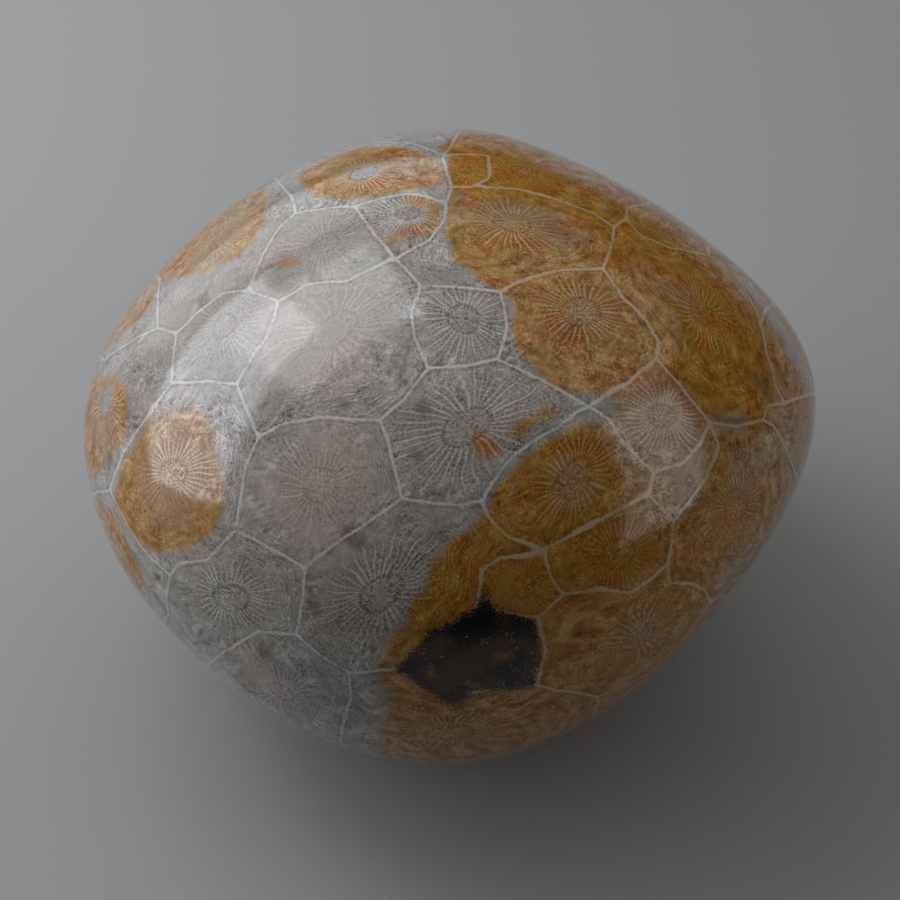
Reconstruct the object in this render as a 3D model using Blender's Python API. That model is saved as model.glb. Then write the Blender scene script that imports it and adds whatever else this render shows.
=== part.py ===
"""A polished fossil coral: one solid pebble of stone that rests on a small flat spot.

Metres, +Z up. X runs along the stone's length, and -Y is its front. The origin is on the surface the
stone rests on, at the middle of its bounding box.
"""

import math

import bmesh
import bpy
from mathutils import Vector

# The pebble's three diameters before its flat spot is ground.
STONE_WIDTH = 0.0800
STONE_DEPTH = 0.0740
STONE_HEIGHT = 0.0628

# The stone's best face looks forward and up, this far above the horizon. Seen square on, the face has
# the outline below: its radii from the middle, every 15 degrees, anticlockwise from the right-hand tip.
FACE_ELEVATION = math.radians(50.0)
FACE_OUTLINE = [
    0.0392, 0.0399, 0.0373, 0.0350, 0.0340, 0.0342,
    0.0348, 0.0349, 0.0350, 0.0358, 0.0374, 0.0395,
    0.0401, 0.0388, 0.0369, 0.0355, 0.0352, 0.0347,
    0.0346, 0.0337, 0.0332, 0.0332, 0.0341, 0.0363,
]
# How fast the outline's corners fade into the plain pebble towards the middle of the face.
CORNER_FADE = 2.5

# The flat spot is ground this deep into the underside, which leaves a face about 23 mm across.
FLAT_SPOT_DEPTH = 0.0014

# Five subdivisions give faces about 3 mm across.
SPHERE_SUBDIVISIONS = 5
SMOOTH_ANGLE = math.radians(12.0)
WELD_DISTANCE = 0.00002

STONE_COLOUR = (0.36, 0.30, 0.22, 1.0)
POLISH_ROUGHNESS = 0.12


def clear_scene():
    for thing in list(bpy.data.objects):
        bpy.data.objects.remove(thing, do_unlink=True)


def polished_stone_material():
    material = bpy.data.materials.new("polished_coral_stone")
    material.use_nodes = True
    shader = material.node_tree.nodes["Principled BSDF"]
    shader.inputs["Base Color"].default_value = STONE_COLOUR
    shader.inputs["Roughness"].default_value = POLISH_ROUGHNESS
    shader.inputs["Metallic"].default_value = 0.0
    return material


def smooth_round(values):
    """The waves that run smoothly through values spread evenly round a circle, as (cosine, sine) pairs."""
    count = len(values)
    waves = []
    for order in range(count // 2 + 1):
        share = 1.0 / count if order in (0, count // 2) else 2.0 / count
        turns = [order * step * math.tau / count for step in range(count)]
        cosine = share * sum(value * math.cos(turn) for value, turn in zip(values, turns))
        sine = share * sum(value * math.sin(turn) for value, turn in zip(values, turns))
        waves.append((cosine, sine))
    return waves


def radius_at(waves, angle):
    return sum(
        cosine * math.cos(order * angle) + sine * math.sin(order * angle)
        for order, (cosine, sine) in enumerate(waves)
    )


class PebbleForm:
    """Turns points of a unit ball, seen square on to the face, into points of the pebble."""

    def __init__(self):
        self.sine = math.sin(FACE_ELEVATION)
        self.cosine = math.cos(FACE_ELEVATION)
        half_width, half_depth, half_height = STONE_WIDTH / 2, STONE_DEPTH / 2, STONE_HEIGHT / 2
        # The ellipsoid of those diameters, as it measures along the face's own right, up and out.
        self.right = half_width
        self.up = math.hypot(half_depth * self.sine, half_height * self.cosine)
        lean = (half_height**2 - half_depth**2) * self.sine * self.cosine
        self.lean = lean / self.up
        reach = (half_depth * self.cosine) ** 2 + (half_height * self.sine) ** 2
        self.out = math.sqrt(reach - self.lean**2)
        self.outline = smooth_round(FACE_OUTLINE)

    def swell(self, x, y):
        """How far the outline stands out of the plain ellipse here: 1 at the middle of the face."""
        rim = math.hypot(x, y)
        if rim == 0.0:
            return 1.0
        ellipse = math.hypot(self.right * x, self.up * y) / rim
        direction = math.atan2(self.up * y, self.right * x)
        outline = radius_at(self.outline, direction)
        return 1.0 + (outline / ellipse - 1.0) * rim**CORNER_FADE

    def place(self, point):
        x, y, z = point
        swell = self.swell(x, y)
        right = self.right * x * swell
        up = self.up * y * swell
        out = self.out * z + self.lean * y * swell
        return Vector(
            (right, up * self.sine - out * self.cosine, up * self.cosine + out * self.sine)
        )


def shape_pebble(mesh_bm):
    form = PebbleForm()
    for vertex in mesh_bm.verts:
        vertex.co = form.place(vertex.co)


def grind_flat_spot(mesh_bm):
    """Cuts the underside along a level plane and closes it with one flat face."""
    level = min(vertex.co.z for vertex in mesh_bm.verts) + FLAT_SPOT_DEPTH
    bmesh.ops.bisect_plane(
        mesh_bm,
        geom=mesh_bm.verts[:] + mesh_bm.edges[:] + mesh_bm.faces[:],
        dist=WELD_DISTANCE,
        plane_co=(0.0, 0.0, level),
        plane_no=(0.0, 0.0, -1.0),
        clear_outer=True,
    )
    rim = [edge for edge in mesh_bm.edges if edge.is_boundary]
    # A rim point within the weld distance of the plane is set exactly on it.
    for edge in rim:
        for vertex in edge.verts:
            vertex.co.z = level
    bmesh.ops.holes_fill(mesh_bm, edges=rim, sides=len(rim))
    bmesh.ops.recalc_face_normals(mesh_bm, faces=mesh_bm.faces)


def centre_on_base(mesh_bm):
    """Moves the stone so that the origin is under the middle of its bounding box, on its flat spot."""
    corners = [
        (min(vertex.co[axis] for vertex in mesh_bm.verts), max(vertex.co[axis] for vertex in mesh_bm.verts))
        for axis in range(3)
    ]
    shift = Vector((-sum(corners[0]) / 2, -sum(corners[1]) / 2, -corners[2][0]))
    bmesh.ops.translate(mesh_bm, vec=shift, verts=mesh_bm.verts)


def build_stone(collection):
    bpy.ops.mesh.primitive_ico_sphere_add(subdivisions=SPHERE_SUBDIVISIONS, radius=1.0)
    stone = bpy.context.object
    stone.name = "polished_stone"
    stone.data.name = "polished_stone"
    mesh_bm = bmesh.new()
    mesh_bm.from_mesh(stone.data)
    shape_pebble(mesh_bm)
    grind_flat_spot(mesh_bm)
    centre_on_base(mesh_bm)
    mesh_bm.to_mesh(stone.data)
    mesh_bm.free()
    stone.data.shade_smooth()
    stone.data.set_sharp_from_angle(angle=SMOOTH_ANGLE)
    stone.data.materials.append(polished_stone_material())
    for holder in list(stone.users_collection):
        holder.objects.unlink(stone)
    collection.objects.link(stone)
    return stone


def main():
    clear_scene()
    collection = bpy.data.collections.new("polished_fossil_coral")
    bpy.context.scene.collection.children.link(collection)
    build_stone(collection)


main()
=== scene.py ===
"""A polished fossil coral pebble: many-sided corallites with fine septa, ochre stains and one dark cell.

Metres, +Z up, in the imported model's own frame. The pattern's sizes are in millimetres.
"""

import math
import random

import bpy
import numpy as np
from mathutils import Matrix, Vector, noise
from mathutils.bvhtree import BVHTree


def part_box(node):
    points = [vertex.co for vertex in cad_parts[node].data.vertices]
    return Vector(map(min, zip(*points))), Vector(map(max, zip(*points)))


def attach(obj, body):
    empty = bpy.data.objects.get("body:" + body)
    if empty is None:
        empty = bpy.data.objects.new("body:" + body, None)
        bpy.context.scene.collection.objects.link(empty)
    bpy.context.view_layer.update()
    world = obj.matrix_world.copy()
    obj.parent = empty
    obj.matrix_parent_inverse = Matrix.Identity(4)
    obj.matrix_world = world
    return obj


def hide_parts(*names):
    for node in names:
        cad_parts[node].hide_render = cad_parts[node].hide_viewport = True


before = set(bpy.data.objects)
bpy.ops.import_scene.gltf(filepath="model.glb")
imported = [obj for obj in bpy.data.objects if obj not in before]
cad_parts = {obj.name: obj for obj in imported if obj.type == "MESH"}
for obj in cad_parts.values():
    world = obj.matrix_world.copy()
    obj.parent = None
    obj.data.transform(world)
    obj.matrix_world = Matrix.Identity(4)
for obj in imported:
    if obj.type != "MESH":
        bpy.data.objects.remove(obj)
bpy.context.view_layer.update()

MM = 0.001

# The camera looks down on the stone's best face, 50 degrees above the horizon.
PICTURE_SIDE = 900
LENS_MM = 120.0
SENSOR_MM = 36.0
VIEW_ELEVATION = math.radians(50.0)
VIEW_DISTANCE = 0.3290
VIEW_TARGET = Vector((0.0, 0.0, 0.0288))
VIEW_RIGHT = Vector((1.0, 0.0, 0.0))
VIEW_UP = Vector((0.0, math.sin(VIEW_ELEVATION), math.cos(VIEW_ELEVATION)))
VIEW_BACK = Vector((0.0, -math.cos(VIEW_ELEVATION), math.sin(VIEW_ELEVATION)))
VIEW_POINT = VIEW_TARGET + VIEW_BACK * VIEW_DISTANCE

# The polished blank: a cube of this many faces along each edge, rounded onto the ground stone.
BLANK_FACES = 128
EASING_ROUNDS = 60
EASING_STEP = 0.5
# The polish is gently wavy: the waves' length and height.
POLISH_WAVE_LENGTH = 0.009
POLISH_WAVE_HEIGHT = 0.00012
# The blank stays this much inside the box of the ground stone.
BOX_SHARE = 0.9992
FACE_CORNERS = 4

# Corallites grow outwards from the middle of the stone.
HEART = Vector((0.0, 0.0, 0.0300))
# One pixel of the picture on the stone's face.
PIXEL_MM = 0.1093
OUTLINE_MIDDLE = (450, 448)
MEAN_RADIUS_MM = 36.0
RIM_HALVINGS = 14
# A flat map of the stone covers it this far round from the map's middle.
CHART_LIMIT = math.cos(math.radians(50.0))
NEARLY_PARALLEL = 0.9
# The depth inside a patch where there is none, and a length too small to matter.
FAR_AWAY_MM = -60.0
TINY = 1e-9

# Where walls between corallites meet or bend, in the picture's pixels, by region: top, left, middle,
# right and bottom. A corner's name is its region and its number in the list, from 1. Those of region x
# lie beyond the stone's outline, which means as far round its rim.
CORNERS = {
    "t": [
        (296, 213), (354, 206), (395, 258), (446, 204), (451, 187), (443, 156), (375, 235), (378, 199),
        (402, 194), (427, 196), (444, 222), (430, 240), (281, 225), (265, 250), (290, 195), (279, 183),
        (345, 149), (373, 143), (415, 144), (450, 148), (455, 138), (490, 155), (489, 179), (470, 187),
        (510, 188), (560, 200), (590, 212), (614, 227), (611, 247), (603, 269), (626, 218), (628, 208),
        (645, 204), (708, 247), (709, 256), (670, 248), (640, 235), (421, 286), (460, 287), (500, 292),
        (530, 278), (560, 270),
    ],
    "l": [
        (250, 291), (279, 302), (347, 280), (305, 286), (267, 338), (254, 353), (237, 385), (206, 382),
        (171, 384), (177, 333), (200, 310), (225, 292), (258, 437), (285, 423), (320, 417), (380, 420),
        (158, 328), (158, 300), (160, 281), (105, 360), (125, 345), (145, 420), (121, 459), (110, 490),
        (98, 492), (123, 516), (140, 546), (170, 575), (168, 614), (180, 563), (207, 560), (223, 543),
        (237, 529), (243, 475), (240, 505), (270, 548), (305, 568), (303, 600), (296, 633), (257, 631),
        (235, 645), (215, 658), (320, 655), (349, 673), (351, 697), (342, 728),
    ],
    "m": [
        (411, 312), (415, 340), (428, 368), (465, 366), (498, 359), (508, 325), (405, 398), (388, 440),
        (395, 470), (402, 500), (370, 520), (340, 540), (430, 503), (460, 505), (482, 500), (490, 485),
        (497, 477), (513, 457), (533, 442), (553, 430), (573, 415), (589, 406), (530, 375), (560, 390),
        (605, 395), (630, 381), (656, 359), (657, 341), (648, 322), (622, 296), (490, 520), (510, 538),
        (546, 549), (523, 556), (500, 558), (482, 569), (478, 605),
    ],
    "r": [
        (685, 392), (700, 410), (709, 422), (700, 445), (680, 465), (654, 472), (625, 445), (608, 420),
        (649, 495), (634, 501), (580, 530), (719, 447), (705, 480), (674, 520), (738, 426), (763, 420),
        (773, 425), (782, 440), (790, 460), (795, 474), (798, 482), (768, 405), (785, 403), (797, 398),
        (810, 394), (761, 324), (766, 350), (775, 385), (748, 295), (733, 273), (764, 312), (668, 563),
        (670, 583), (690, 583), (705, 590), (710, 602), (722, 596), (650, 580), (629, 593), (600, 589),
        (563, 594), (550, 575),
    ],
    "b": [
        (538, 618), (545, 650), (537, 685), (505, 688), (480, 690), (464, 694), (445, 690), (425, 681),
        (402, 668), (432, 645), (453, 632), (500, 611), (556, 690), (574, 692), (598, 696), (648, 673),
        (684, 638), (591, 720),
    ],
    "x": [
        (262, 160), (305, 140), (468, 105), (672, 182), (742, 232), (138, 258), (80, 348), (62, 500),
        (142, 645), (185, 690), (335, 780), (838, 495), (845, 390), (792, 288), (757, 608), (718, 658),
        (594, 770), (455, 805), (52, 420), (98, 600), (98, 300), (190, 200), (390, 92), (565, 105),
        (662, 742), (255, 750),
    ],
}


def cell(middle, corners, slant=(0.0, 1.0), septa=1.0, core=1.0):
    """One corallite: its middle in pixels, its corners, the slant of its core as (degrees, stretch),
    the strength of its septa and the size of its core."""
    return {
        "middle": middle, "corners": corners.split(), "slant": slant,
        "septa_strength": septa, "core_size": core,
    }


CELLS = {
    "top ochre": cell((363, 173), "t1 t15 t16 x1 x2 t17 t18 t19 t6 t5 t4 t10 t9 t8 t2"),
    "upper left ochre": cell((220, 240),
        "t1 t13 t14 l1 l12 l11 l10 l17 l18 l19 x6 x22 x1 t16 t15"),
    "upper grey": cell((325, 243), "t1 t2 t7 t3 l3 l4 l2 l1 t14 t13", septa=0.9),
    "little ring": cell((407, 214), "t2 t8 t9 t10 t4 t11 t12 t3 t7", core=0.8),
    "left grey": cell((225, 325), "l1 l2 l5 l6 l7 l8 l9 l10 l11 l12", septa=0.8),
    "pink grey": cell((334, 330), "l2 l4 l3 t3 t38 m1 m2 m3 m7 l16 l15 l14 l13 l7 l6 l5",
        slant=(35.0, 1.7), septa=0.85, core=1.1),
    "middle grey": cell((463, 319), "t38 t39 t40 m6 m5 m4 m3 m2 m1"),
    "north ochre": cell((512, 223), "t5 t24 t25 t26 t27 t28 t29 t30 t42 t41 t40 t39 t38 t3 t12 t11 t4",
        slant=(-15.0, 1.3)),
    "bud": cell((465, 170), "t6 t22 t23 t24 t5", septa=0.6, core=0.5),
    "top rim ochre": cell((525, 172), "t6 t20 t21 x3 x24 x4 t33 t32 t31 t28 t27 t26 t25 t24 t23 t22",
        septa=0.5),
    "top rim grey": cell((400, 130), "x2 t17 t18 t19 t6 t20 t21 x3 x23", septa=0.5),
    "east ochre": cell((580, 312), "t40 t41 t42 t30 m30 m29 m28 m27 m26 m25 m22 m24 m23 m5 m6",
        slant=(10.0, 1.25), core=1.1),
    "north east ochre": cell((702, 312),
        "t28 t31 t37 t36 t35 r30 r29 r26 r27 r28 r23 r22 r16 r15 r3 r2 r1 m27 m28 m29 m30 t30 t29",
        slant=(100.0, 1.3)),
    "north east rim": cell((679, 222), "t31 t32 t33 x4 x5 t34 t35 t36 t37"),
    "east rim upper": cell((755, 275), "t35 t34 x5 x14 r31 r26 r29 r30", septa=0.4),
    "east rim": cell((795, 340), "r26 r31 x14 x13 r25 r24 r23 r28 r27", septa=0.4),
    "east rim lower": cell((805, 430), "r16 r22 r23 r24 r25 x13 x12 r21 r20 r19 r18 r17", septa=0.4),
    "veiled ochre": cell((662, 416), "m22 m25 m26 m27 r1 r2 r3 r4 r5 r6 r7 r8", slant=(0.0, 1.25),
        septa=0.85, core=0.8),
    "inner ochre": cell((573, 479),
        "m22 m21 m20 m19 m18 m17 m16 m15 m31 m32 m33 r11 r10 r9 r6 r7 r8", slant=(50.0, 1.5)),
    "sliver": cell((690, 480), "r3 r12 r13 r14 r9 r6 r5 r4", septa=0.15, core=0.3),
    "far east": cell((736, 507),
        "r3 r15 r16 r17 r18 r19 r20 r21 x12 x15 r37 r36 r35 r34 r33 r32 r14 r13 r12", septa=0.8, core=1.3),
    "low east": cell((618, 554), "m33 r11 r10 r9 r14 r32 r38 r39 r40 r41 r42", septa=0.6, core=1.1),
    "south east": cell((640, 637), "r41 r40 r39 r38 r32 r33 r34 r35 r36 b17 b16 b15 b14 b13 b3 b2 b1",
        slant=(25.0, 1.5), septa=0.75),
    "low rim": cell((680, 680), "r36 r37 x15 x16 x25 x17 b18 b15 b16 b17", septa=0.5),
    "dark edged": cell((523, 587), "m33 r42 r41 b1 b12 m37 m36 m35 m34", septa=0.5, core=0.8),
    "dark": cell((490, 651), "b9 b10 b11 m37 b12 b1 b2 b3 b4 b5 b6 b7 b8", septa=0.2),
    "two toned": cell((382, 593),
        "m10 m13 m14 m15 m31 m32 m33 m34 m35 m36 m37 b11 b10 b9 l44 l43 l39 l38 l37 m12 m11",
        slant=(40.0, 1.6)),
    "ochre wedge": cell((467, 426),
        "l16 m7 m3 m4 m5 m23 m24 m22 m21 m20 m19 m18 m17 m16 m15 m14 m13 m10 m9 m8",
        slant=(25.0, 1.6), core=1.1),
    "grey heart": cell((320, 484), "l13 l14 l15 l16 m8 m9 m10 m11 m12 l37 l36 l33 l35 l34", core=1.15),
    "orange core": cell((172, 473), "l24 l23 l22 l9 l8 l7 l13 l34 l35 l33 l32 l31 l30 l28 l27 l26",
        slant=(15.0, 1.3), septa=0.8),
    "west rim": cell((106, 408), "l20 l21 l17 l10 l9 l22 l23 l24 l25 x8 x19 x7"),
    "north west rim": cell((118, 312), "l20 l21 l17 l18 l19 x6 x21 x7", septa=0.5),
    "south west rim": cell((112, 565), "l25 l24 l26 l27 l28 l29 x9 x20 x8", septa=0.5),
    "low left grey": cell((231, 598), "l28 l30 l31 l32 l33 l36 l37 l38 l39 l40 l41 l42 x10 x9 l29",
        slant=(30.0, 1.4)),
    "bottom left grey": cell((281, 692), "l40 l39 l43 l44 l45 l46 x11 x26 x10 l42 l41"),
    "bottom ochre": cell((452, 733), "l44 b9 b8 b7 b6 b5 b4 b3 b13 b14 b15 b18 x17 x18 x11 l46 l45",
        slant=(5.0, 1.5)),
}

# Corallites round the rest of the stone, set out at random this far apart.
HIDDEN_SPACING_MM = 12.5
HIDDEN_CLEARANCE_MM = 5.5
HIDDEN_TRIES = 6000
HIDDEN_STRETCH = 1.5
# Their walls wander: the length of the waves, and their height as a share of the stone's radius.
HIDDEN_WAVE_LENGTH = 0.005
HIDDEN_WAVE_SHARE = 0.03
PATTERN_SEED = 11
# Ochre stains reach this far from the middles of the hidden corallites, give or take a wave.
STAIN_REACHES_MM = (0.0, 0.0, 4.0, 5.5, 12.0, 14.0)
STAIN_WAVE_LENGTH = 0.006
STAIN_WAVE_MM = 3.5
STAIN_OVER_WALL_MM = 0.3

# Ochre ground, as outlines in pixels. The first covers the right of the face.
OCHRE_OUTLINES = [
    [(463, 118), (446, 150), (449, 190), (446, 206), (443, 234), (455, 262), (478, 280), (500, 291),
     (511, 303), (513, 334), (522, 362), (542, 381), (566, 393), (594, 399), (604, 408), (590, 417),
     (560, 433), (530, 450), (505, 474), (492, 492), (486, 510), (470, 526), (448, 541), (432, 565),
     (421, 590), (406, 618), (388, 640), (377, 662), (382, 690), (384, 715), (378, 740), (378, 778),
     (500, 840), (700, 780), (870, 580), (890, 400), (810, 210), (660, 120), (592, 92), (566, 58),
     (540, 84), (520, 66), (507, 96), (486, 88), (478, 108)],
    [(150, 416), (175, 409), (200, 412), (215, 425), (221, 447), (222, 478), (228, 500), (220, 522),
     (203, 541), (183, 552), (160, 554), (140, 546), (124, 526), (113, 502), (117, 480), (130, 452)],
    [(262, 184), (269, 200), (264, 222), (254, 241), (238, 257), (215, 269), (198, 277), (178, 277),
     (164, 283), (140, 292), (130, 262), (190, 180), (240, 160)],
    [(297, 179), (310, 167), (332, 157), (358, 149), (390, 147), (420, 152), (441, 162), (445, 181),
     (436, 189), (408, 192), (380, 198), (345, 200), (318, 197), (303, 190)],
    [(101, 374), (118, 377), (129, 390), (131, 414), (125, 441), (112, 461), (97, 480), (58, 482),
     (58, 372)],
    [(100, 498), (113, 512), (124, 532), (134, 553), (149, 578), (140, 600), (95, 560), (80, 505)],
    [(158, 287), (152, 303), (138, 321), (121, 337), (104, 354), (88, 345), (128, 280)],
]
# Where the markings are faint: partly milky stone, partly the painted haze of a reflection.
MILKY_SHEEN_OUTLINE = [
    (150, 300), (200, 262), (250, 236), (290, 206), (350, 208), (392, 240), (412, 285), (402, 330),
    (335, 366), (290, 408), (243, 425), (222, 408), (160, 390), (130, 345),
]
# The cell that dark mineral fills.
DARK_OUTLINE = [
    (395, 668), (409, 656), (422, 643), (428, 630), (442, 626), (452, 623), (464, 613), (476, 607),
    (481, 598), (484, 588), (488, 589), (490, 602), (498, 610), (512, 614), (534, 620), (541, 642),
    (540, 658), (536, 672), (535, 686), (520, 689), (500, 690), (480, 690), (470, 691), (465, 701),
    (452, 705), (440, 699), (424, 690), (415, 681), (402, 674),
]
# Smaller patches as (from x, from y, to x, to y, radius), all in pixels.
PATCHES = {
    # Small stains.
    "ochre": [
        (438, 208, 432, 226, 8), (430, 228, 392, 238, 8), (408, 200, 430, 203, 5),
        (284, 262, 290, 264, 7), (479, 440, 491, 450, 9), (520, 430, 552, 411, 8),
        (244, 686, 250, 690, 6), (470, 150, 560, 170, 30),
    ],
    # Where the ochre is washed out again.
    "pale": [
        (363, 172, 370, 172, 14), (107, 402, 107, 396, 9), (591, 407, 600, 409, 9),
        (748, 284, 772, 316, 13), (776, 322, 802, 366, 15), (802, 366, 812, 390, 12),
        (402, 214, 408, 214, 14), (462, 318, 470, 318, 20), (400, 120, 430, 133, 16),
    ],
    # Where the ochre is thin, so the grey shows through it.
    "thin": [
        (640, 425, 670, 430, 34), (700, 450, 680, 495, 20), (645, 276, 684, 300, 8),
        (560, 240, 580, 235, 14), (735, 575, 740, 590, 40), (740, 470, 770, 450, 22),
        (458, 212, 480, 214, 12), (785, 430, 800, 450, 26), (570, 475, 576, 490, 14),
        (500, 212, 545, 218, 20), (550, 165, 600, 185, 14), (640, 630, 648, 640, 14),
        (580, 310, 585, 313, 12), (205, 262, 245, 212, 36), (104, 385, 112, 455, 30),
        (120, 330, 150, 290, 24), (320, 172, 420, 165, 18), (284, 262, 292, 266, 20),
        (479, 440, 491, 450, 9), (405, 235, 425, 228, 14),
    ],
    # Pink places: partly the stone's own tint, partly painted reflection where the light panels' sheen
    # falls.
    "pink": [
        (300, 330, 330, 345, 50), (315, 500, 330, 480, 46), (175, 455, 175, 480, 50),
        (660, 420, 670, 440, 30), (750, 290, 808, 385, 22), (245, 660, 255, 670, 12),
        (300, 350, 345, 330, 34),
    ],
    "blue": [
        (590, 406, 606, 408, 13), (712, 424, 742, 425, 10), (366, 171, 370, 172, 9),
        (107, 402, 107, 396, 8), (326, 333, 342, 324, 5), (300, 190, 288, 186, 10),
        (490, 476, 486, 488, 8), (790, 482, 786, 505, 7), (440, 196, 460, 196, 7),
        (388, 690, 384, 705, 9),
    ],
    "smudge": [
        (313, 277, 314, 280, 5), (203, 297, 205, 301, 5), (603, 408, 621, 411, 4),
        (516, 487, 518, 488, 4), (540, 348, 545, 351, 4), (608, 212, 614, 216, 4),
        (757, 382, 771, 401, 5), (716, 420, 744, 422, 6), (420, 405, 424, 408, 6),
        (414, 453, 418, 456, 5), (350, 535, 356, 540, 9), (343, 403, 347, 404, 4),
        (263, 652, 268, 655, 6), (512, 560, 518, 561, 3), (527, 571, 530, 567, 2),
        (484, 602, 489, 596, 4), (545, 430, 548, 432, 4), (313, 600, 316, 612, 6),
    ],
    # Where the tissue lies in plain sheets beside a wall, and where it is smooth.
    "sheeted": [
        (268, 196, 258, 262, 10), (240, 428, 232, 520, 9), (300, 396, 385, 398, 14),
        (286, 572, 289, 630, 10), (376, 452, 387, 505, 9), (238, 546, 292, 566, 8),
        (458, 542, 440, 612, 16), (476, 528, 470, 600, 10), (555, 703, 592, 722, 14),
        (532, 270, 592, 252, 8), (108, 350, 142, 400, 10), (312, 650, 336, 690, 8),
        (500, 380, 545, 402, 9), (395, 268, 440, 276, 9), (690, 560, 750, 560, 12),
    ],
    "plain": [
        (258, 458, 256, 520, 13), (178, 573, 176, 612, 13), (262, 645, 272, 652, 9),
        (318, 546, 345, 558, 14), (205, 300, 160, 330, 16), (330, 330, 318, 322, 8),
        (420, 392, 414, 440, 10), (360, 702, 372, 730, 16), (690, 470, 684, 490, 12),
        (600, 600, 566, 650, 16), (436, 190, 462, 214, 10), (640, 260, 662, 330, 10),
    ],
    # In the dark cell: browner islands, orange spots and pale crumbs.
    "brown": [
        (441, 643, 433, 654, 10), (429, 672, 446, 684, 11), (458, 668, 500, 650, 16),
        (466, 682, 498, 681, 5), (520, 642, 530, 650, 5), (529, 664, 527, 676, 4),
        (500, 620, 507, 623, 3), (424, 652, 418, 658, 4), (482, 590, 484, 596, 3),
    ],
    "orange": [
        (496, 657, 508, 655, 4), (431, 667, 432, 679, 3),
    ],
    "crumb": [
        (468, 683, 484, 688, 4), (499, 681, 506, 686, 3), (519, 685, 523, 681, 3),
        (538, 644, 535, 660, 4), (533, 672, 528, 681, 3), (481, 642, 488, 638, 2),
        (503, 633, 513, 637, 3), (428, 646, 422, 656, 3), (512, 666, 521, 672, 3),
    ],
}
# The mesh keeps the depths in these patches three to a layer.
PATCH_LAYERS = ("ochre_thin_pink", "blue_smudge_crumb", "milky_sheeted_plain", "dark_brown_orange")

# Each face of the mesh knows three corallites, the nearest ones, and two habits of each.
RANKS = ("first", "second", "third")
HABITS = ("septa_strength", "core_size")
# Noise pushes the walls, bends the fans and makes the tissue drift by up to half of these.
SLOW_PUSH_MM = 0.60
QUICK_PUSH_MM = 0.09
BEND_MM = 1.2
DRIFT_MM = 0.9
# The slow noise is this much stronger in the markings than in the walls.
SLOW_GAIN = 2.28

# The tissue: cores, septa, the cross-walls between septa, folds, net and walls. A line fades from its
# core's half width to the half width named for it.
CORE_RADIUS_MM = 1.45
FEWEST_SEPTA = 34.0
MORE_SEPTA = 8.0
LINE_CORE_MM = 0.03
SEPTUM_HALF_MM = 0.15
THIN_SEPTUM_HALF_MM = 0.12
RUNG_SPACING_MM = 0.42
FOLD_SPACING_MM = 0.33
MESHES_PER_MM = 1.7
WALL_HALF_MM = 0.20
# There is room for this many specks along a millimetre. These shares of them are painted glints, white
# dots that stand for tiny highlights, and dark pits.
SPECKS_PER_MM = 2.4
PAINTED_GLINT_SHARE = 0.035
PIT_SHARE = 0.10
# Tones run from 0 to 1 along the two lists of colours below. Milky stone, with the painted haze of a
# reflection over it, tends to one tone.
MIDDLE_TONE = 0.52
MILKY_SHEEN_TONE = 0.55

# Surface colours, from the dark gaps of the tissue to its lightest lines.
GREY_TISSUE = [
    (0.00, (0.100, 0.088, 0.076)), (0.30, (0.245, 0.221, 0.195)), (0.55, (0.345, 0.313, 0.278)),
    (0.80, (0.480, 0.448, 0.407)), (1.00, (0.610, 0.582, 0.545)),
]
OCHRE_TISSUE = [
    (0.00, (0.115, 0.042, 0.007)), (0.30, (0.258, 0.115, 0.016)), (0.55, (0.390, 0.200, 0.034)),
    (0.80, (0.540, 0.328, 0.098)), (1.00, (0.690, 0.490, 0.240)),
]
RUSTY_TINT = (1.05, 0.80, 0.62, 1.0)
WALL_GREY = (0.580, 0.560, 0.530, 1.0)
WALL_IN_OCHRE = (0.500, 0.370, 0.245, 1.0)
BLUE_GREY = (0.270, 0.285, 0.290, 1.0)
# Pink: partly the stone's tint, partly a painted reflection.
PINK_STONE_AND_SHEEN = (0.480, 0.350, 0.290, 1.0)
EYE_BUFF = (0.400, 0.300, 0.200, 1.0)
SMUDGE_BROWN = (0.110, 0.090, 0.075, 1.0)
DARK_MINERAL = (0.012, 0.011, 0.011, 1.0)
BROWN_MINERAL = (0.072, 0.040, 0.019, 1.0)
ORANGE_MINERAL = (0.210, 0.105, 0.030, 1.0)
CRUMB_BEIGE = (0.300, 0.215, 0.130, 1.0)
# Painted glint: a white base colour that stands for tiny highlights.
PAINTED_GLINT_WHITE = (0.700, 0.680, 0.640, 1.0)

# The stone itself has little gloss: its shine comes from the polish, which is a coat. The relief's
# height is in metres.
CALCITE_IOR = 1.65
GAP_GLOSS = 0.16
STONE_ROUGHNESS = 0.11
POLISH_ROUGHNESS = 0.11
MILKY_SHEEN_POLISH = 0.55
DARK_POLISH = 0.30
RELIEF_HEIGHT = 0.000004

FLOOR_COLOUR = (0.36, 0.356, 0.352, 1.0)
FLOOR_ROUGHNESS = 0.8
FLOOR_SIDE = 6.0
ROOM_GREY = (0.015, 0.015, 0.016, 1.0)
ROOM_STRENGTH = 1.0
WHITE = (1.0, 1.0, 1.0)
COOL_WHITE = (0.96, 1.0, 1.06)
# Panels of studio light: name, direction from the stone, run of the wide side, distance in metres,
# width and height in degrees as the stone sees them, radiance, colour. Directions are (right, up,
# towards the camera) as the camera sees them.
PANELS = [
    ("key", (-0.48, 0.77, 0.42), (-0.75, -0.66, 0.11), 0.24, 36.0, 32.0, 2.0, COOL_WHITE),
    ("left_bank", (-0.88, 0.40, 0.24), (-0.37, -0.93, 0.0), 0.30, 60.0, 34.0, 3.05, COOL_WHITE),
    ("back_bank", (-0.48, 0.80, -0.36), (0.85, 0.5, 0.0), 0.30, 56.0, 28.0, 1.0, COOL_WHITE),
    ("overhead", (0.14, 0.86, 0.50), (1.0, -0.2, 0.0), 0.36, 84.0, 66.0, 0.52, WHITE),
    ("right_fill", (0.855, 0.06, 0.51), (-0.15, 0.95, 0.25), 0.40, 44.0, 27.0, 1.05, WHITE),
]


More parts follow.
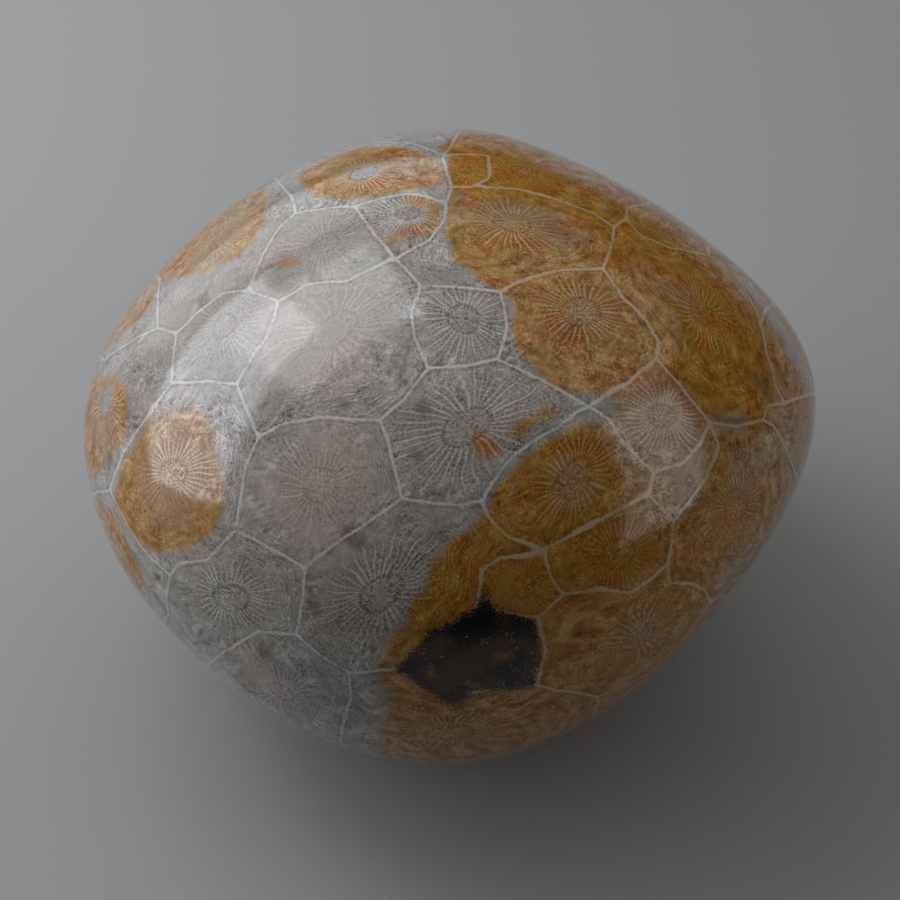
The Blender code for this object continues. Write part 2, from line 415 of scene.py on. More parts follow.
def set_camera():
    lens = bpy.data.cameras.new("photo_camera")
    lens.lens = LENS_MM
    lens.sensor_width = SENSOR_MM
    camera = bpy.data.objects.new("photo_camera", lens)
    bpy.context.scene.collection.objects.link(camera)
    camera.location = VIEW_POINT
    camera.rotation_euler = VIEW_BACK.to_track_quat("Z", "Y").to_euler()
    bpy.context.scene.camera = camera


def camera_ray(pixel):
    """The direction in which the camera sees a pixel of the picture."""
    across = (pixel[0] - PICTURE_SIDE / 2) / PICTURE_SIDE * SENSOR_MM / LENS_MM
    down = (pixel[1] - PICTURE_SIDE / 2) / PICTURE_SIDE * SENSOR_MM / LENS_MM
    return (VIEW_RIGHT * across - VIEW_UP * down - VIEW_BACK).normalized()


def apply_modifier(piece, kind, **settings):
    """Adds one modifier to the piece and applies it."""
    modifier = piece.modifiers.new(kind.title(), kind)
    for name, value in settings.items():
        setattr(modifier, name, value)
    bpy.context.view_layer.objects.active = piece
    bpy.ops.object.modifier_apply(modifier=modifier.name)


def corners_of_box(mesh):
    places = np.empty(len(mesh.vertices) * 3)
    mesh.vertices.foreach_get("co", places)
    places = places.reshape(-1, 3)
    return places.min(axis=0), places.max(axis=0)


def model_stone():
    """The pebble's polished surface: a finely divided cube, cast to a ball, drawn onto the ground
    stone, eased smooth and given the gentle waves of hand polishing."""
    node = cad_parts["polished_stone"]
    low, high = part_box("polished_stone")
    size = high - low
    bpy.ops.object.select_all(action="DESELECT")
    bpy.ops.mesh.primitive_cube_add(size=size.x, location=(low + high) / 2)
    stone = bpy.context.object
    stone.name = "coral_stone"
    stone.data.name = "coral_stone"
    bpy.ops.object.mode_set(mode="EDIT")
    bpy.ops.mesh.select_all(action="SELECT")
    bpy.ops.mesh.subdivide(number_cuts=BLANK_FACES - 1)
    bpy.ops.object.mode_set(mode="OBJECT")
    apply_modifier(stone, "CAST", cast_type="SPHERE", factor=1.0, size=size.x / 2)
    bpy.ops.transform.resize(value=(1.0, size.y / size.x, size.z / size.x))
    bpy.ops.object.transform_apply(location=True, rotation=True, scale=True)
    apply_modifier(stone, "SHRINKWRAP", target=node, wrap_method="NEAREST_SURFACEPOINT")
    apply_modifier(stone, "SMOOTH", factor=EASING_STEP, iterations=EASING_ROUNDS)
    waves = bpy.data.textures.new("polish_waves", "CLOUDS")
    waves.noise_scale = POLISH_WAVE_LENGTH
    waves.noise_depth = 0
    apply_modifier(stone, "DISPLACE", texture=waves, strength=POLISH_WAVE_HEIGHT, mid_level=0.5)
    fit_to_box(stone, low, high)
    bpy.ops.object.shade_smooth()
    return stone


def fit_to_box(stone, low, high):
    """Draws the blank back to the size that easing took from it, resting on the same level."""
    blank_low, blank_high = corners_of_box(stone.data)
    ratio = BOX_SHARE * np.array(high - low) / (blank_high - blank_low)
    bpy.ops.object.mode_set(mode="EDIT")
    bpy.ops.mesh.select_all(action="SELECT")
    bpy.ops.transform.resize(value=ratio.tolist(), center_override=blank_low.tolist())
    blank_middle = blank_low + ratio * (blank_high - blank_low) / 2
    shift = np.array(low + high) / 2 - blank_middle
    shift[2] = low.z - blank_low[2]
    bpy.ops.transform.translate(value=shift.tolist())
    bpy.ops.object.mode_set(mode="OBJECT")


class StoneMap:
    """Finds places on the stone from pixels of the picture."""

    def __init__(self, stone):
        self.tree = BVHTree.FromObject(stone, bpy.context.evaluated_depsgraph_get())

    def seen(self, pixel):
        """The point of the stone that the camera sees at a pixel, or None beside the stone."""
        return self.tree.ray_cast(VIEW_POINT, camera_ray(pixel))[0]

    def direction(self, pixel):
        """The direction from the heart to a pixel's place. A pixel beyond the outline is as far
        round the rim."""
        point = self.seen(pixel)
        if point is not None:
            return (point - HEART).normalized()
        step = Vector((pixel[0] - OUTLINE_MIDDLE[0], pixel[1] - OUTLINE_MIDDLE[1]))
        inside, outside = 0.0, 1.0
        for _ in range(RIM_HALVINGS):
            share = (inside + outside) / 2
            trial = (OUTLINE_MIDDLE[0] + step.x * share, OUTLINE_MIDDLE[1] + step.y * share)
            if self.seen(trial) is None:
                outside = share
            else:
                inside = share
        rim_pixel = (OUTLINE_MIDDLE[0] + step.x * inside, OUTLINE_MIDDLE[1] + step.y * inside)
        rim = (self.seen(rim_pixel) - HEART).normalized()
        turn = VIEW_BACK.angle(rim) + step.length * (1.0 - inside) * PIXEL_MM / MEAN_RADIUS_MM
        away = (rim - VIEW_BACK * VIEW_BACK.dot(rim)).normalized()
        return VIEW_BACK * math.cos(turn) + away * math.sin(turn)

    def place(self, pixel):
        """The surface point in a pixel's direction."""
        direction = self.direction(pixel)
        return self.tree.ray_cast(HEART, direction)[0]


class Chart:
    """A flat map, in millimetres, of the stone round one of its surface points."""

    def __init__(self, point):
        arm = Vector(point) - HEART
        out = arm.normalized()
        level = VIEW_RIGHT if abs(out.dot(VIEW_RIGHT)) < NEARLY_PARALLEL else VIEW_UP
        across = (level - out * out.dot(level)).normalized()
        self.out = np.array(out)
        self.across = np.array(across)
        self.upward = np.array(out.cross(across))
        self.radius = arm.length / MM

    def lay(self, arms):
        """Flat places of points given by their arms from the heart."""
        ahead = arms @ self.out
        flat = np.stack([arms @ self.across, arms @ self.upward], axis=-1)
        return flat * (self.radius / ahead)[..., None]

    def near(self, arms):
        """Which points are on this side of the stone."""
        return arms @ self.out > CHART_LIMIT * np.linalg.norm(arms, axis=-1)


def depth_inside(points, corners):
    """How far each flat point is inside the outline through the corners. It is negative outside."""
    nearest = np.full(len(points), np.inf)
    inside = np.zeros(len(points), dtype=bool)
    for start, end in zip(corners, np.roll(corners, -1, axis=0)):
        along = end - start
        step = points - start
        share = np.clip(step @ along / (along @ along), 0.0, 1.0)
        nearest = np.minimum(nearest, np.linalg.norm(step - share[:, None] * along, axis=1))
        crosses = (start[1] > points[:, 1]) != (end[1] > points[:, 1])
        rise = along[1] if along[1] != 0.0 else 1.0
        reach = start[0] + step[:, 1] * along[0] / rise
        inside ^= crosses & (points[:, 0] < reach)
    return np.where(inside, nearest, -nearest)


class Pattern:
    """The corallites and stains, worked out at each point of the stone's mesh."""

    def __init__(self, stone):
        self.mesh = stone.data
        self.map = StoneMap(stone)
        self.chance = random.Random(PATTERN_SEED)
        places = np.empty(len(self.mesh.vertices) * 3)
        self.mesh.vertices.foreach_get("co", places)
        self.places = places.reshape(-1, 3)
        self.arms = self.places - np.array(HEART)
        self.headings = self.arms / np.linalg.norm(self.arms, axis=1)[:, None]
        self.cells = []
        self.depths = []

    def add_seen_cells(self):
        """The corallites on the face, each inside its own walls."""
        corners = {
            region + str(number): self.map.direction(pixel)
            for region, pixels in CORNERS.items()
            for number, pixel in enumerate(pixels, 1)
        }
        for spec in CELLS.values():
            chart = Chart(self.map.place(spec["middle"]))
            outline = chart.lay(np.array([corners[name] for name in spec["corners"]]))
            near = chart.near(self.arms)
            depth = np.full(len(self.arms), FAR_AWAY_MM)
            depth[near] = depth_inside(chart.lay(self.arms[near]), outline)
            self.cells.append({**spec, "chart": chart})
            self.depths.append(depth)

    def add_hidden_cells(self):
        """Corallites over the rest of the stone, each nearer its own middle than any other's."""
        seen_depth = np.max(self.depths, axis=0)
        chosen = []
        for _ in range(HIDDEN_TRIES):
            trial = self.chance.randrange(len(self.places))
            if seen_depth[trial] > -HIDDEN_CLEARANCE_MM:
                continue
            gaps = [np.linalg.norm(self.places[trial] - self.places[other]) for other in chosen]
            if all(gap > HIDDEN_SPACING_MM * MM for gap in gaps):
                chosen.append(trial)
        middles = self.headings[chosen]
        # Vector noise has offsets of its own that differ from run to run unless they are seeded.
        noise.seed_set(PATTERN_SEED)
        waves = [noise.noise_vector(Vector(place) / HIDDEN_WAVE_LENGTH) for place in self.places]
        wavy = self.headings + np.array(waves) * HIDDEN_WAVE_SHARE
        for index, middle in enumerate(middles):
            across = middle - np.delete(middles, index, axis=0)
            across /= np.linalg.norm(across, axis=1)[:, None]
            depth = MEAN_RADIUS_MM * np.min(wavy @ across.T, axis=1)
            slant = (self.chance.uniform(0.0, 180.0), self.chance.uniform(1.0, HIDDEN_STRETCH))
            chart = Chart(self.places[chosen[index]])
            self.cells.append({"chart": chart, "slant": slant, "septa_strength": 1.0, "core_size": 1.0})
            self.depths.append(np.minimum(depth, -seen_depth))
        self.hidden_places = self.places[chosen]

    def store(self, name, values, domain):
        """Keeps one triple of numbers on each point, or on each corner of a face."""
        layer = self.mesh.attributes.new(name, "FLOAT_VECTOR", domain)
        layer.data.foreach_set("vector", np.ascontiguousarray(values, dtype=np.float32).ravel())

    def store_cells(self):
        """Gives each face the three corallites nearest to it: how deep it lies in each, its place
        round the middle of each, a number that tells the corallites apart, and their habits."""
        depths = np.array(self.depths)
        points = np.empty(len(self.mesh.loops), dtype=np.int32)
        self.mesh.loops.foreach_get("vertex_index", points)
        face_points = points.reshape(-1, FACE_CORNERS)
        face_depths = depths[:, face_points].mean(axis=2)
        near_count = len(RANKS)
        nearest = np.argpartition(-face_depths, near_count - 1, axis=0)[:near_count]
        corner_cells = np.repeat(np.sort(nearest, axis=0), FACE_CORNERS, axis=1)
        marks = np.array([self.chance.random() for _ in self.cells])
        rows = []
        for rank, owner in zip(RANKS, corner_cells):
            flat = self.local_places(points, owner)
            rows.append(depths[owner, points])
            self.store(rank + "_cell", np.column_stack([flat, marks[owner]]), "CORNER")
        self.store("cell_depths", np.column_stack(rows), "CORNER")
        for habit in HABITS:
            values = np.array([own[habit] for own in self.cells])
            self.store(habit, values[corner_cells].T, "CORNER")

    def local_places(self, points, owner):
        """Flat places round each owner's middle, squeezed along the slant of its core."""
        flat = np.empty((len(points), 2))
        for index, own in enumerate(self.cells):
            mine = owner == index
            laid = own["chart"].lay(self.arms[points[mine]])
            degrees, stretch = own["slant"]
            angle = math.radians(degrees)
            along = np.array([math.cos(angle), math.sin(angle)])
            squeeze = (laid @ along) * (1.0 / stretch - 1.0)
            flat[mine] = laid + squeeze[:, None] * along
        return flat

    def spread(self, patches):
        """How far inside the nearest patch each point lies, in millimetres."""
        depth = np.full(len(self.places), FAR_AWAY_MM)
        for start_x, start_y, end_x, end_y, radius in patches:
            start = np.array(self.map.place((start_x, start_y)))
            along = np.array(self.map.place((end_x, end_y))) - start
            step = self.places - start
            share = np.clip(step @ along / (along @ along), 0.0, 1.0)
            gap = np.linalg.norm(step - share[:, None] * along, axis=1) / MM
            depth = np.maximum(depth, radius * PIXEL_MM - gap)
        return depth

    def blanket(self, headings):
        """Flat places of directions, as a cloth laid over the face from the camera's side."""
        height = headings @ np.array(VIEW_BACK)
        side = np.stack([headings @ np.array(VIEW_RIGHT), headings @ np.array(VIEW_UP)], axis=-1)
        length = np.maximum(np.linalg.norm(side, axis=-1), TINY)
        turn = np.arccos(np.clip(height, -1.0, 1.0)) * MEAN_RADIUS_MM
        return side * (turn / length)[..., None]

    def inside_outline(self, pixels):
        outline = self.blanket(np.array([self.map.direction(pixel) for pixel in pixels]))
        return depth_inside(self.blanket(self.headings), outline)

    def hidden_stains(self):
        """Ochre on the hidden sides: ragged stains round some corallites' middles, up to their walls
        where they are large."""
        depth = np.full(len(self.places), FAR_AWAY_MM)
        ragged = [noise.noise(Vector(place) / STAIN_WAVE_LENGTH) for place in self.places]
        ragged = STAIN_WAVE_MM * np.array(ragged)
        hidden_depths = self.depths[-len(self.hidden_places):]
        for place, inside in zip(self.hidden_places, hidden_depths):
            reach = self.chance.choice(STAIN_REACHES_MM)
            gap = np.linalg.norm(self.places - place, axis=1) / MM
            depth = np.maximum(depth, np.minimum(reach + ragged - gap, inside + STAIN_OVER_WALL_MM))
        return depth

    def store_patches(self):
        """Keeps how deep each point lies in every kind of patch."""
        depths = {kind: self.spread(patches) for kind, patches in PATCHES.items()}
        ochre = np.maximum(depths["ochre"], self.hidden_stains())
        for outline in OCHRE_OUTLINES:
            ochre = np.maximum(ochre, self.inside_outline(outline))
        depths["ochre"] = np.minimum(ochre, -depths["pale"])
        depths["milky"] = self.inside_outline(MILKY_SHEEN_OUTLINE)
        depths["dark"] = self.inside_outline(DARK_OUTLINE)
        for layer in PATCH_LAYERS:
            values = np.column_stack([depths[kind] for kind in layer.split("_")])
            self.store(layer, values, "POINT")


def operation(name):
    """A method of a field that adds one Math node."""
    return lambda field, *others: field.math(name, *others)


class Field:
    """A value that varies over the stone. Arithmetic on it adds Math nodes."""

    def __init__(self, bench, socket):
        self.bench = bench
        self.socket = socket

    def math(self, name, *others):
        values = dict(enumerate((self, *others)))
        return self.bench.node("Math", {"operation": name}, values)

    __add__ = __radd__ = operation("ADD")
    __sub__ = operation("SUBTRACT")
    __mul__ = __rmul__ = operation("MULTIPLY")
    __truediv__ = operation("DIVIDE")
    __abs__ = operation("ABSOLUTE")
    most = operation("MAXIMUM")
    least = operation("MINIMUM")
    above = operation("GREATER_THAN")

    def __rsub__(self, other):
        return self.math("MULTIPLY_ADD", -1.0, other)

    def step(self, low, high):
        """Eases from 0 at low to 1 at high. Low may be the larger."""
        values = {"Value": self, "From Min": low, "From Max": high}
        return self.bench.node("MapRange", {"interpolation_type": "SMOOTHSTEP"}, values)


class Bench:
    """Adds nodes to one material."""

    def __init__(self, material):
        material.use_nodes = True
        self.tree = material.node_tree
        self.shader = self.tree.nodes["Principled BSDF"]
        place = self.node("TexCoord", {}, {}, "Object")
        self.place = self.node("VectorMath", {"operation": "SCALE"}, {0: place, "Scale": 1 / MM})

    def node(self, kind, settings, values, output=0):
        """One node: its settings first, then its sockets' values or links."""
        made = self.tree.nodes.new("ShaderNode" + kind)
        for name, value in settings.items():
            if name == "stops":
                self.set_stops(made.color_ramp.elements, value)
            else:
                setattr(made, name, value)
        for name, value in values.items():
            if isinstance(value, Field):
                self.tree.links.new(value.socket, made.inputs[name])
            else:
                made.inputs[name].default_value = value
        return Field(self, made.outputs[output])

    def set_stops(self, elements, stops):
        for spot, _ in stops[2:]:
            elements.new(spot)
        for element, (spot, colour) in zip(elements, stops):
            element.position = spot
            element.color = (*colour, 1.0)

    def feed(self, socket_name, value):
        self.tree.links.new(value.socket, self.shader.inputs[socket_name])

    def set(self, socket_name, number):
        self.shader.inputs[socket_name].default_value = number

    def stored(self, name):
        return self.node("Attribute", {"attribute_name": name}, {}, "Vector")

    def parts(self, vector):
        """The three numbers of a triple."""
        split = self.node("SeparateXYZ", {}, {0: vector}).socket.node
        return [Field(self, socket) for socket in split.outputs]

    def triple(self, name):
        """The three numbers that are stored under a name."""
        return self.parts(self.stored(name))

    def noise_node(self, per_mm, detail, shift, output):
        """Noise with this many waves to a millimetre, moved by its own shift so that noises differ."""
        moved = self.node("VectorMath", {"operation": "ADD"}, {0: self.place, 1: (shift, shift, shift)})
        values = {"Vector": moved, "Scale": per_mm, "Detail": detail}
        return self.node("TexNoise", {}, values, output)

    def noise(self, per_mm, detail, shift):
        """Soft noise from about -0.5 to 0.5."""
        return self.noise_node(per_mm, detail, shift, 0) - 0.5

    def wander(self, per_mm, detail, shift, size):
        """Three soft noises, each from about -size / 2 to size / 2."""
        colour = self.noise_node(per_mm, detail, shift, "Color")
        return [(part - 0.5) * size for part in self.parts(colour)]

    def chance(self, number):
        """Three random numbers from 0 to 1 for each whole number."""
        return self.parts(self.node("TexWhiteNoise", {"noise_dimensions": "1D"}, {"W": number}, "Color"))

    def choose(self, factor, first, second):
        """Blends two triples of numbers. The Mix node's sockets go by number: names repeat in it."""
        return self.node("Mix", {"data_type": "VECTOR"}, {0: factor, 4: first, 5: second}, 1)

    def blend(self, factor, first, second, manner="MIX"):
        """Blends two colours."""
        settings = {"data_type": "RGBA", "blend_type": manner}
        return self.node("Mix", settings, {0: factor, 6: first, 7: second}, 2)

    def ramp(self, value, stops):
        return self.node("ValToRGB", {"stops": stops}, {0: value})


class Spot:
    """What is known of each spot of the stone: the corallite it is in and its place there, its
    stains, and the noises that several markings share."""

    def __init__(self, bench):
        slow = bench.wander(0.36, 0.0, 31.0, SLOW_PUSH_MM)
        quick = bench.wander(1.6, 0.0, 57.0, QUICK_PUSH_MM)
        # The third noise of each set pushes no wall, so it is free for the markings.
        self.slow = slow[2] * SLOW_GAIN
        self.quick = quick[2]
        across, upward, self.mark = bench.parts(self.find_cell(bench, slow, quick))
        self.bend = bench.wander(0.28, 1.0, 71.0, BEND_MM)
        across = across + self.bend[0]
        upward = upward + self.bend[1]
        self.radius = (across * across + upward * upward).math("SQRT")
        self.angle = upward.math("ARCTAN2", across)
        self.from_core = self.radius - self.core_size * CORE_RADIUS_MM
        self.drift = bench.wander(1.1, 1.0, 83.0, DRIFT_MM)
        flat = {0: across + self.drift[0], 1: upward + self.drift[1], 2: self.mark * 9.0}
        self.flat = bench.node("CombineXYZ", {}, flat)
        self.cloud = bench.noise(0.36, 2.0, 103.0)
        self.grain = bench.noise(3.2, 2.0, 97.0)
        self.fine_grain = bench.noise(8.0, 1.0, 101.0)
        # How deep the spot lies in each kind of patch.
        self.depth = {}
        for layer in PATCH_LAYERS:
            self.depth.update(zip(layer.split("_"), bench.triple(layer)))
        sway = self.slow + self.cloud * 1.5
        bent = (self.bend[2] + self.cloud * 0.6).step(0.12, 0.30)
        self.stained = self.depth["ochre"].step(-1.0, 1.0)
        # Milky places, partly the painted haze of a reflection: their markings fade.
        self.milky = (self.depth["milky"] + sway + self.grain * 2.0).step(-1.5, 2.5)
        self.sheeted = (self.depth["sheeted"] + sway).step(-0.8, 0.6).most(bent)
        self.plain = (self.depth["plain"] + sway).step(-1.0, 0.8)

    def find_cell(self, bench, slow, quick):
        """Picks the corallite a spot is in and finds how far its wall is. The walls are crinkled by
        noise that pushes each corallite its own way, so both sides of a wall agree."""
        depths = bench.triple("cell_depths")
        cells = [bench.stored(rank + "_cell") for rank in RANKS]
        pushed = []
        for depth, own in zip(depths, cells):
            turn = bench.parts(own)[2] * math.tau
            sway = (slow[0] + quick[0]) * turn.math("COSINE")
            swing = (slow[1] + quick[1]) * turn.math("SINE")
            pushed.append(depth + sway + swing)
        first, second, third = pushed
        top = first.most(second).most(third)
        low = first.least(second).least(third)
        runner_up = first + second + third - top - low
        self.to_wall = (top - runner_up) * 0.5
        in_second = second.above(first) * second.above(third)
        in_third = third.above(first) * third.above(second)
        in_first = 1 - in_second - in_third
        habits = []
        for name in HABITS:
            held = bench.triple(name)
            habits.append(held[0] * in_first + held[1] * in_second + held[2] * in_third)
        self.septa_strength, self.core_size = habits
        return bench.choose(in_third, bench.choose(in_second, cells[0], cells[1]), cells[2])


def near_line(phase, width):
    """How close a running count is to a whole number, as a distance when width is the spacing."""
    return (0.5 - abs(phase.math("FRACT") - 0.5)) * width


class Fan:
    """The septa: thin walls that fan out from a corallite's core, with shorter ones between them.
    They are shorter in stained stone."""

    def __init__(self, bench, spot):
        mark = spot.mark
        count = (mark * MORE_SEPTA + FEWEST_SEPTA).math("FLOOR")
        phase = spot.angle * count / math.tau + bench.noise(0.5, 1.0, 11.0) * 0.8
        spacing = spot.radius * math.tau / count
        whole = (phase + 0.5).math("FLOOR").math("FLOORED_MODULO", count)
        length, weight, _ = bench.chance(whole + mark * 97.0)
        gap = (phase * 2).math("FLOOR").math("FLOORED_MODULO", count * 2)
        slip, _, _ = bench.chance(gap + mark * 61.0)
        main = near_line(phase, spacing).step(SEPTUM_HALF_MM, LINE_CORE_MM) * (weight * 0.5 + 0.6)
        between = near_line(phase * 2, spacing * 0.5).step(THIN_SEPTUM_HALF_MM, LINE_CORE_MM)
        between = between * spacing.step(0.50, 0.72) * 0.4
        self.lines = main.most(between).least(1.0)
        # Thin cross-walls leave a row of holes in each gap.
        rung = near_line(spot.radius / RUNG_SPACING_MM + slip, RUNG_SPACING_MM).step(0.04, 0.13)
        self.holes = (1 - self.lines) * (rung * 0.75 + 0.25)
        end = (length * 1.3 + 1.7 + (mark * 5.0).math("FRACT")) * (1 - spot.stained * 0.22)
        self.reach = spot.from_core.step(-0.1, 0.2) * (spot.from_core - end).step(0.7, -0.7)


class Folds:
    """The tissue outside the fan: crinkled sheets that lie round the core and along the wall,
    streamers that run outwards, and a fine net."""

    def __init__(self, bench, spot):
        outward = (spot.radius - spot.to_wall) * 0.5
        cosine = spot.angle.math("COSINE")
        sine = spot.angle.math("SINE")
        ring = {0: cosine * 4.5, 1: sine * 4.5, 2: outward * 1.3 + spot.mark * 50.0}
        self.streak = self.soft(bench, ring)
        rays = {0: cosine * 13.0, 1: sine * 13.0, 2: outward * 0.6 + spot.mark * 70.0}
        self.streamers = self.soft(bench, rays)
        count = outward / FOLD_SPACING_MM + self.streak * 3.0 + spot.drift[2]
        self.rows = near_line(count, FOLD_SPACING_MM).step(0.13, LINE_CORE_MM)
        settings = {"voronoi_dimensions": "2D", "feature": "DISTANCE_TO_EDGE"}
        edge = bench.node("TexVoronoi", settings, {"Vector": spot.flat, "Scale": MESHES_PER_MM})
        self.net = edge.step(0.16, 0.02)

    def soft(self, bench, parts):
        values = {"Vector": bench.node("CombineXYZ", {}, parts), "Detail": 2.0, "Roughness": 0.6}
        return bench.node("TexNoise", {}, {"Scale": 1.0, **values}) - 0.5


def tissue_tones(bench, spot, fan, folds):
    """Two tones, from dark gaps to light lines: the drawn lines alone, then all of the tissue. From
    the core outwards there are grains, a thin ring, the fan of septa, then folds."""
    core = spot.from_core.step(0.15, -0.1)
    ring = abs(spot.from_core - 0.05).step(0.25, LINE_CORE_MM)
    swirl = bench.node("TexNoise", {}, {"Vector": spot.flat, "Scale": 0.9, "Detail": 0.0})
    swirl = near_line(swirl * 9.0, 1.0).step(0.30, 0.05)
    streaming = (spot.slow - spot.sheeted * 0.5).step(-0.15, 0.15)
    netted = (spot.drift[2] - spot.bend[2]).step(-0.1, 0.25)
    even = spot.plain.most(spot.sheeted)
    outside = 1 - core.most(fan.reach * 0.8)
    reach = fan.reach * spot.septa_strength * (0.85 + spot.slow * 0.5) * (1 - spot.stained * 0.15)
    rows = folds.rows * (0.8 + spot.grain * 2.4) - 0.45
    tone = MIDDLE_TONE + (fan.lines * 0.30 - fan.holes * 0.30) * reach
    tone = tone + folds.streak * outside * (0.8 + spot.stained * 0.25)
    tone = tone + rows * spot.sheeted * outside * (0.36 - spot.stained * 0.08)
    tone = tone + folds.streamers * streaming * outside * (1.5 - spot.stained * 0.6)
    tone = tone + (folds.net - 0.4) * netted * (1 - reach) * (1 - even) * 0.26
    tone = tone + core * (spot.fine_grain * 0.8 + swirl * 0.26 - 0.10)
    drawn = tone - ring * (0.24 - spot.stained * 0.10)

    pores = (spot.grain + spot.fine_grain * 0.7).step(-0.10, -0.24)
    busy = (spot.bend[0].step(-0.22, 0.12) * 0.6 + 0.5 - spot.stained * 0.36) * (1 - even * 0.5)
    tone = drawn + (spot.grain * 0.9 + spot.fine_grain * 0.9 - pores * 0.20) * busy
    tone = tone + spot.cloud * (0.50 - spot.stained * 0.15)
    # Painted haze of a reflection, partly milky stone: the markings fade to one lighter tone.
    tone = (tone - MILKY_SHEEN_TONE) * (1 - spot.milky * 0.45) + MILKY_SHEEN_TONE
    return drawn, tone


def stone_colour(bench, spot, fan, folds, tone):
    """Grey stone and ochre stone, with buff eyes in some cores, pink places that are partly painted
    reflection, bluish places and smudges. Returns how ochre a spot is beside its colour."""
    ragged = spot.slow * 0.8 + folds.streak * 1.4 + fan.lines * fan.reach * 0.5 + spot.grain * 0.8
    ochre = (spot.depth["ochre"] + ragged).step(-0.5, 0.8)
    ochre = ochre * (1 - (spot.depth["thin"] + ragged).step(-2.0, 2.5) * 0.4)
    ochre_colour = bench.ramp(tone - 0.03, OCHRE_TISSUE)
    ochre_colour = bench.blend(spot.slow.step(-0.1, 0.35), ochre_colour, RUSTY_TINT, "MULTIPLY")
    colour = bench.blend(ochre, bench.ramp(tone, GREY_TISSUE), ochre_colour)
    eye = (spot.from_core + 0.80).step(0.12, -0.12) * (spot.mark * 3.0).math("FRACT").step(0.3, 0.6)
    colour = bench.blend(eye * (0.45 - spot.stained * 0.20), colour, EYE_BUFF)
    # Pink is partly the stone's tint and partly painted reflection.
    pink = (spot.depth["pink"] + ragged).step(-3.0, 3.0) * 0.34
    colour = bench.blend(pink, colour, PINK_STONE_AND_SHEEN)
    blue = (spot.depth["blue"] + ragged * 0.6).step(-0.6, 0.9) * 0.45
    colour = bench.blend(blue, colour, BLUE_GREY)
    smudge = (spot.depth["smudge"] + spot.slow * 0.5 + spot.grain * 1.2).step(-0.4, 0.4) * 0.55
    return ochre, bench.blend(smudge, colour, SMUDGE_BROWN)


def draw_walls(bench, spot, ochre, colour):
    """Pale walls, uneven in width and strength, with here and there a dark line beside them. Returns
    how much of a wall a spot is beside its colour."""
    gap = spot.to_wall - ochre * 0.04 - spot.slow * 0.05 - spot.grain * 0.20
    strength = 0.84 + spot.slow * 0.6 + spot.grain * 0.9 + spot.fine_grain * 1.2 - spot.milky * 0.15
    wall = gap.step(WALL_HALF_MM, 0.02) * strength.least(1.0)
    flank = abs(gap - 0.34).step(0.16, 0.04) * spot.quick.step(-0.02, 0.02)
    colour = bench.blend(flank * 0.34, colour, SMUDGE_BROWN)
    return wall, bench.blend(wall, colour, bench.blend(ochre, WALL_GREY, WALL_IN_OCHRE))


def fill_dark_cell(bench, spot, colour):
    """Dark mineral with a grainy edge, browner islands, orange spots and crumbs. Returns how much of
    it a spot is beside its colour."""
    dark = (spot.depth["dark"] + spot.grain * 2.0 + spot.fine_grain * 2.4).step(-0.3, 0.2)
    brown = (spot.depth["brown"] + spot.grain * 3.0 + spot.fine_grain * 1.5).step(-0.6, 0.6)
    orange = (spot.depth["orange"] + spot.grain).step(-0.2, 0.25) * 0.8
    crumb = (spot.depth["crumb"] + spot.grain * 2.0).step(-0.1, 0.3) * spot.fine_grain.step(0.02, 0.10)
    mineral = bench.blend(brown, DARK_MINERAL, BROWN_MINERAL)
    mineral = bench.blend(orange, mineral, ORANGE_MINERAL)
    mineral = bench.blend(crumb, mineral, CRUMB_BEIGE)
    return dark, bench.blend(dark, colour, mineral)


def scatter_specks(bench):
    """Tiny white dots painted as glints, which stand for highlights, and dark pits."""
    values = {"Vector": bench.place, "Scale": SPECKS_PER_MM}
    distance = bench.node("TexVoronoi", {}, values, "Distance")
    painted_glint_luck, pit_luck, _ = bench.parts(bench.node("TexVoronoi", {}, values, "Color"))
    painted_glint = distance.step(0.22, 0.10) * painted_glint_luck.above(1 - PAINTED_GLINT_SHARE)
    pit = distance.step(0.26, 0.10) * pit_luck.above(1 - PIT_SHARE)
    return painted_glint, pit


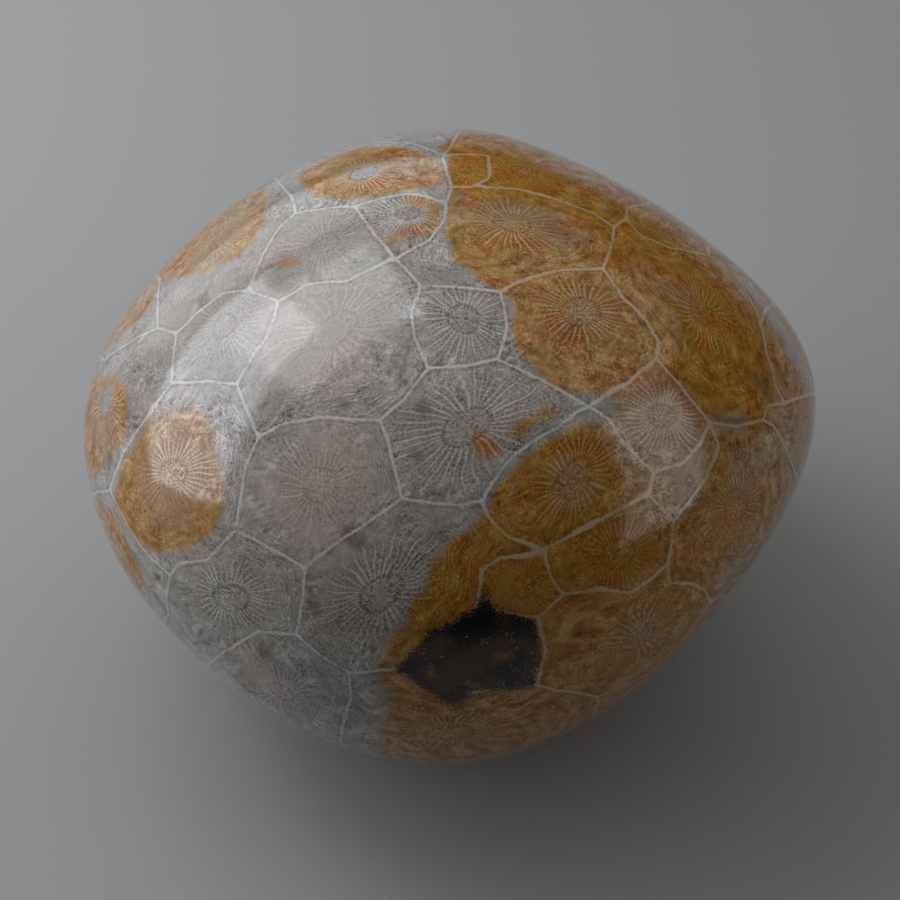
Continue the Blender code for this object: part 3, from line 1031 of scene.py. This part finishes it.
def coral_material():
    """Coral tissue, its stains, walls and dark mineral, under a coat of polish."""
    material = bpy.data.materials.new("polished_coral")
    bench = Bench(material)
    spot = Spot(bench)
    fan = Fan(bench, spot)
    folds = Folds(bench, spot)
    drawn, tone = tissue_tones(bench, spot, fan, folds)
    ochre, colour = stone_colour(bench, spot, fan, folds, tone)
    wall, colour = draw_walls(bench, spot, ochre, colour)
    dark, colour = fill_dark_cell(bench, spot, colour)
    painted_glint, pit = scatter_specks(bench)
    colour = bench.blend(pit * 0.6, colour, SMUDGE_BROWN)
    # The white dots are painted glints: highlights put into the base colour.
    bench.feed("Base Color", bench.blend(painted_glint * 0.9, colour, PAINTED_GLINT_WHITE))

    bench.set("IOR", CALCITE_IOR)
    bench.set("Specular IOR Level", GAP_GLOSS)
    roughness = STONE_ROUGHNESS + spot.grain.most(0.0) * 0.12 + pit * 0.3 + painted_glint * 0.2 + dark * 0.06
    bench.feed("Roughness", roughness)
    # The polish is a coat. The pale lines take it better than the gaps between them.
    bench.set("Coat IOR", CALCITE_IOR)
    bench.set("Coat Roughness", POLISH_ROUGHNESS)
    polish = ((tone + drawn) * 0.5 + wall * 0.2).step(0.32, 0.78) * 0.92 + 0.08
    polish = polish + (MILKY_SHEEN_POLISH - polish) * spot.milky * 0.7
    polish = polish + (DARK_POLISH - polish) * dark
    bench.feed("Coat Weight", polish * (1 - pit * 0.9))
    relief = bench.noise(6.0, 1.0, 139.0)
    relief = relief - relief.step(-0.10, -0.22)
    bump = {"Strength": 1.0, "Distance": RELIEF_HEIGHT, "Height": relief}
    bench.feed("Normal", bench.node("Bump", {}, bump))
    return material


def dress_stone():
    stone = model_stone()
    pattern = Pattern(stone)
    pattern.add_seen_cells()
    pattern.add_hidden_cells()
    pattern.store_cells()
    pattern.store_patches()
    stone.data.materials.clear()
    stone.data.materials.append(coral_material())
    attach(stone, "root")
    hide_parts("polished_stone")
    return stone


def lay_floor():
    bpy.ops.object.select_all(action="DESELECT")
    bpy.ops.mesh.primitive_plane_add(size=FLOOR_SIDE, location=(0.0, 0.0, 0.0))
    floor = bpy.context.object
    floor.name = "floor"
    material = bpy.data.materials.new("floor")
    material.use_nodes = True
    shader = material.node_tree.nodes["Principled BSDF"]
    shader.inputs["Base Color"].default_value = FLOOR_COLOUR
    shader.inputs["Roughness"].default_value = FLOOR_ROUGHNESS
    floor.data.materials.append(material)


def seen_direction(right, up, towards):
    """A world direction from its parts along the picture's right and up, and towards the camera."""
    return VIEW_RIGHT * right + VIEW_UP * up + VIEW_BACK * towards


def hang_panel(name, direction, wide_run, distance, wide, tall, radiance, colour):
    """A rectangular area light that faces the stone."""
    data = bpy.data.lights.new(name, "AREA")
    data.shape = "RECTANGLE"
    data.size = 2 * distance * math.tan(math.radians(wide / 2))
    data.size_y = 2 * distance * math.tan(math.radians(tall / 2))
    data.energy = radiance * math.pi * data.size * data.size_y
    data.color = colour
    light = bpy.data.objects.new(name, data)
    bpy.context.scene.collection.objects.link(light)
    out = seen_direction(*direction).normalized()
    run = seen_direction(*wide_run)
    run = (run - out * out.dot(run)).normalized()
    light.location = HEART + out * distance
    light.rotation_euler = Matrix((run, out.cross(run), out)).transposed().to_euler()


def light_studio():
    for panel in PANELS:
        hang_panel(*panel)
    world = bpy.data.worlds.new("room")
    world.use_nodes = True
    background = world.node_tree.nodes["Background"]
    background.inputs["Color"].default_value = ROOM_GREY
    background.inputs["Strength"].default_value = ROOM_STRENGTH
    bpy.context.scene.world = world


set_camera()
dress_stone()
lay_floor()
light_studio()
bpy.context.scene.view_settings.view_transform = "Standard"
